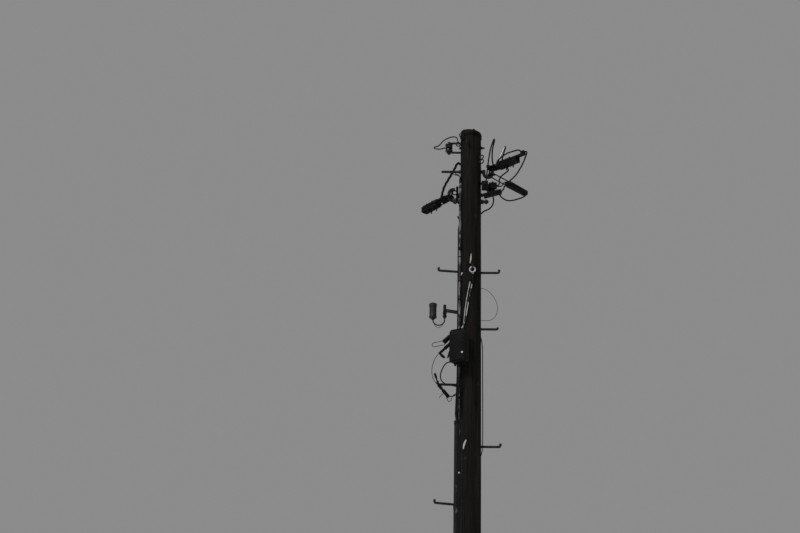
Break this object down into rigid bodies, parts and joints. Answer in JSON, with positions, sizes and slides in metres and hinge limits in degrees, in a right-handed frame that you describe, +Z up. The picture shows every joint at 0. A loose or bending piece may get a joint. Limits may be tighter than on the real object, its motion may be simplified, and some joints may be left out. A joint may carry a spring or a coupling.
{
  "type": "wooden utility pole",
  "caption": "Tapered wooden utility pole with climbing steps, hook bolts, strain clamps with jumper cables, a shackle insulator, a canister, a terminal box and a cable guard",
  "frame": {"origin": "on the pole's axis at ground level", "axes": "+Z up along the pole; the steps lie along X, with the canister on -X; the picture looks along +Y from below"},
  "size_m": [0.7358, 0.4766, 7.3077],
  "materials": {
    "creosoted_wood": "rough, weathered and cracked along the grain",
    "weathered_zinc": "dull hot-dip zinc with dark stains",
    "guard_zinc": "pale mottled zinc",
    "black_plastic": "matte black, a little dusty",
    "black_sheath": "satin black cable sheath",
    "grey_sheath": "light grey cable sheath, weathered",
    "dark_grey_plastic": "matte dark grey",
    "brown_glaze": "brown glaze"
  },
  "bodies": {
    "root": {"pole": "creosoted_wood", "step_1": "weathered_zinc", "step_2": "weathered_zinc", "step_3": "weathered_zinc", "step_4": "weathered_zinc", "step_5": "weathered_zinc", "step_6": "weathered_zinc", "step_7": "weathered_zinc", "step_8": "weathered_zinc", "step_9": "weathered_zinc", "step_10": "weathered_zinc", "step_11": "weathered_zinc", "top_bracket": "weathered_zinc", "top_bolt": "weathered_zinc", "reel_insulator": "brown_glaze", "insulator_pin": "weathered_zinc", "insulator_tie": "black_sheath", "service_tail": "black_sheath", "screw_eyes": "weathered_zinc", "upper_hook": "weathered_zinc", "lower_hook": "weathered_zinc", "cross_bolt": "weathered_zinc", "near_clamp": "black_plastic", "near_bail": "weathered_zinc", "far_clamp": "black_plastic", "far_bail": "weathered_zinc", "left_clamp": "black_plastic", "left_bail": "weathered_zinc", "cable_ends": "black_sheath", "connectors": "black_plastic", "tall_jumper": "black_sheath", "short_jumper": "black_sheath", "arch_jumper": "black_sheath", "long_jumper": "black_sheath", "low_jumper": "black_sheath", "return_jumper": "black_sheath", "left_jumper": "black_sheath", "far_jumper": "black_sheath", "ring_bolt": "weathered_zinc", "loose_ring": "weathered_zinc", "drop_tails": "grey_sheath", "spare_loop": "black_sheath", "canister": "dark_grey_plastic", "canister_tube": "black_plastic", "canister_bracket": "weathered_zinc", "terminal_box": "black_plastic", "terminal_cover": "black_plastic", "terminal_bracket": "weathered_zinc", "barrel_clamps": "black_plastic", "outer_loop": "black_sheath", "inner_loop": "black_sheath", "tail_block": "black_plastic", "block_cable": "black_sheath", "side_cable": "black_sheath", "feed_cable": "grey_sheath", "riser_cables": "black_sheath", "cable_saddles": "weathered_zinc", "guard_upper": "guard_zinc", "guard_middle": "guard_zinc", "guard_lower": "guard_zinc"}
  },
  "joints": []
}
